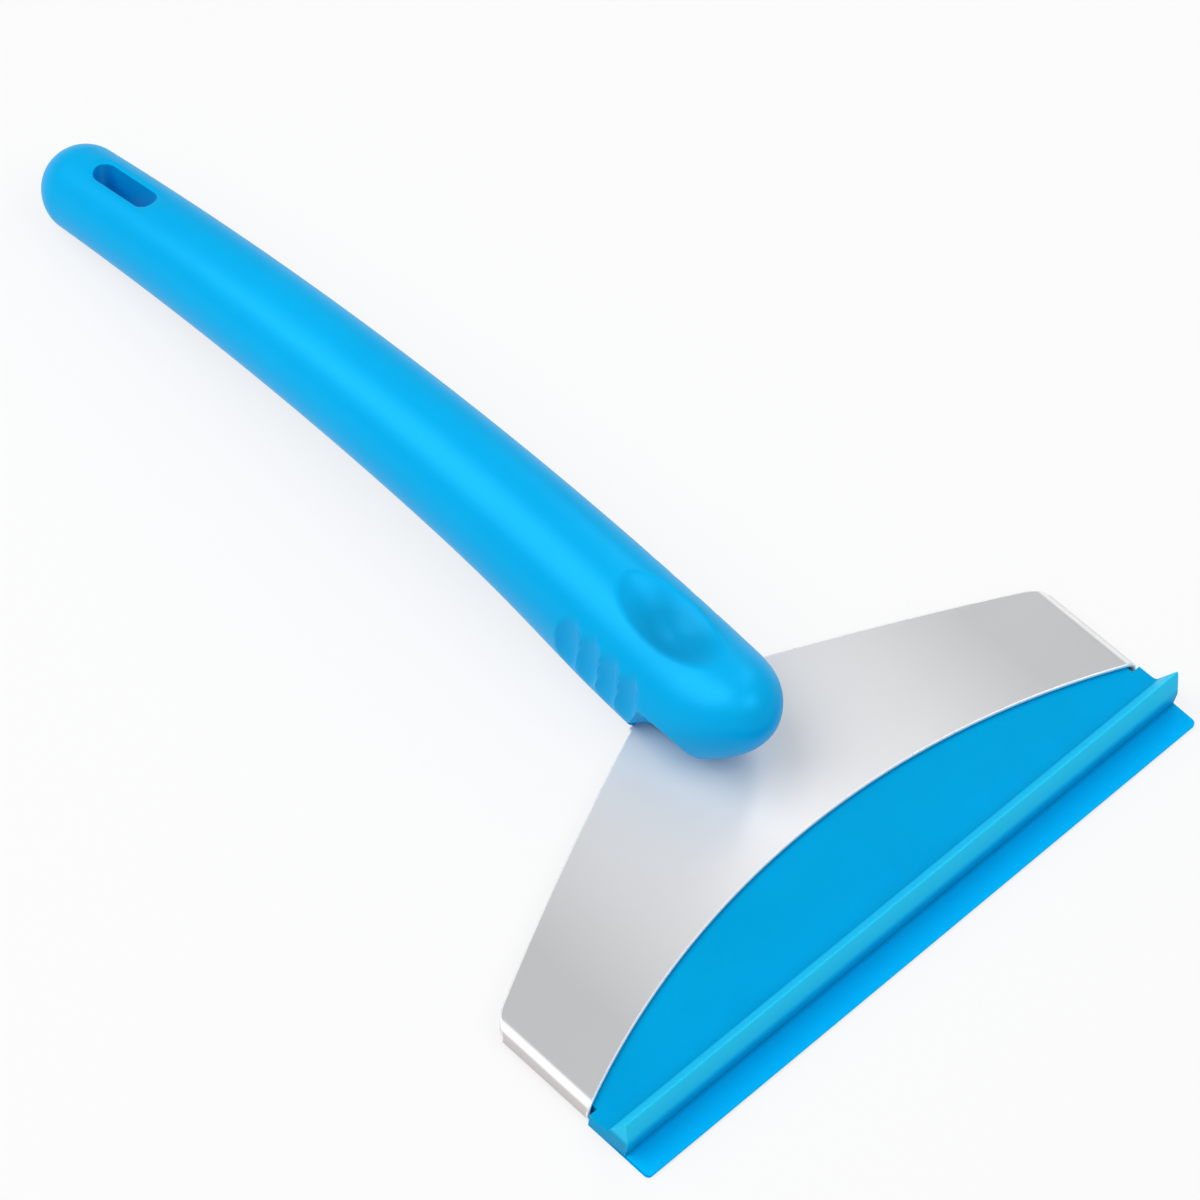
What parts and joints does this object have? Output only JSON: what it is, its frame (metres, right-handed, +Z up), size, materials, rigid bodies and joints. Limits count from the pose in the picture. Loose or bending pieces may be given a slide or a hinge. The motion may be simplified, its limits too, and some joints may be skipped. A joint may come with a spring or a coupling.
{
  "type": "ice scraper",
  "caption": "Hand-held ice scraper: arched moulded handle with thumb recess and hanging slot, folded steel head holding a soft blade with an upright fin and a thin lip",
  "frame": {"origin": "middle of the bounding box in plan, on the surface that the scraper lies on", "axes": "+X across the blade, +Y from the scraping lip to the handle's tail, +Z up from the underside to the handle's top"},
  "size_m": [0.15, 0.2454, 0.0312],
  "materials": {
    "handle": "bright blue moulded plastic, satin gloss",
    "handle_cover": "bright blue moulded plastic, fine matt texture",
    "steel": "cold-rolled stainless sheet, fine satin",
    "blade": "bright blue flexible elastomer, slightly translucent where it is thin",
    "screw": "zinc-plated steel"
  },
  "bodies": {
    "root": {"handle_shell": "handle", "handle_cover": "handle_cover", "steel_head": "steel", "scraper_blade": "blade", "tang_screw_front": "screw", "tang_screw_rear": "screw", "cover_screw_front": "screw", "cover_screw_rear": "screw"}
  },
  "joints": []
}
